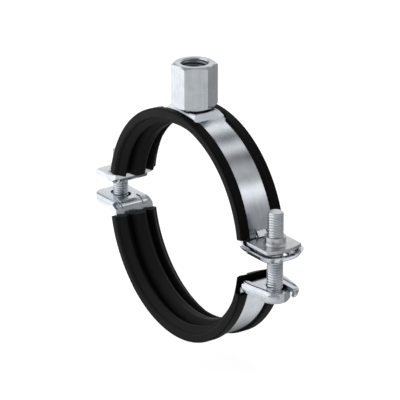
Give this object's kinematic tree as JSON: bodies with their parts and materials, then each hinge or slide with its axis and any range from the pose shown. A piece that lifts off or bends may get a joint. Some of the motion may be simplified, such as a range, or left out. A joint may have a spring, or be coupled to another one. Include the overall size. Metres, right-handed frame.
{
  "type": "universal pipe clip",
  "caption": "Two-screw steel pipe clip with a rubber lining, a fork and nut plate closure on one side and a threaded connection nut on top.",
  "frame": {"origin": "centre of the pipe seat in the upper half, midway along the pipe", "axes": "+Y along the pipe, +Z along the connection nut's thread away from the pipe, +X towards the closure with the fork and the nut plate"},
  "size_m": [0.1185, 0.0194, 0.1076],
  "materials": {
    "zinc_steel": "zinc plated, satin",
    "nut_steel": "zinc plated, satin",
    "screw_steel": "zinc plated, satin",
    "lining_rubber": "satin"
  },
  "bodies": {
    "upper_half": {"upper_band": "zinc_steel", "connection_nut": "nut_steel", "upper_lining": "lining_rubber", "nut_plate": "zinc_steel"},
    "lower_half": {"lower_band": "zinc_steel", "lower_lining": "lining_rubber"},
    "left_screw": {"left_screw": "screw_steel"},
    "right_screw": {"right_screw": "screw_steel"}
  },
  "joints": [
    {"name": "closing", "type": "slide", "parent": "upper_half", "child": "lower_half", "axis": [0, 0, 1], "range_m": [-0.006, 0.006]},
    {"name": "left_screw_turn", "type": "hinge", "parent": "lower_half", "child": "left_screw", "pos_m": [-0.0507, 0, 0], "axis": [0, 0, 1], "range_deg": [-2161, 2161]},
    {"name": "right_screw_turn", "type": "hinge", "parent": "lower_half", "child": "right_screw", "pos_m": [0.0507, 0, 0], "axis": [0, 0, 1], "range_deg": [-2161, 2161]}
  ],
  "couplings": [
    {"joint": "left_screw_turn", "follows": "closing", "rad_per_m": 6283.2},
    {"joint": "right_screw_turn", "follows": "closing", "rad_per_m": 6283.2}
  ]
}
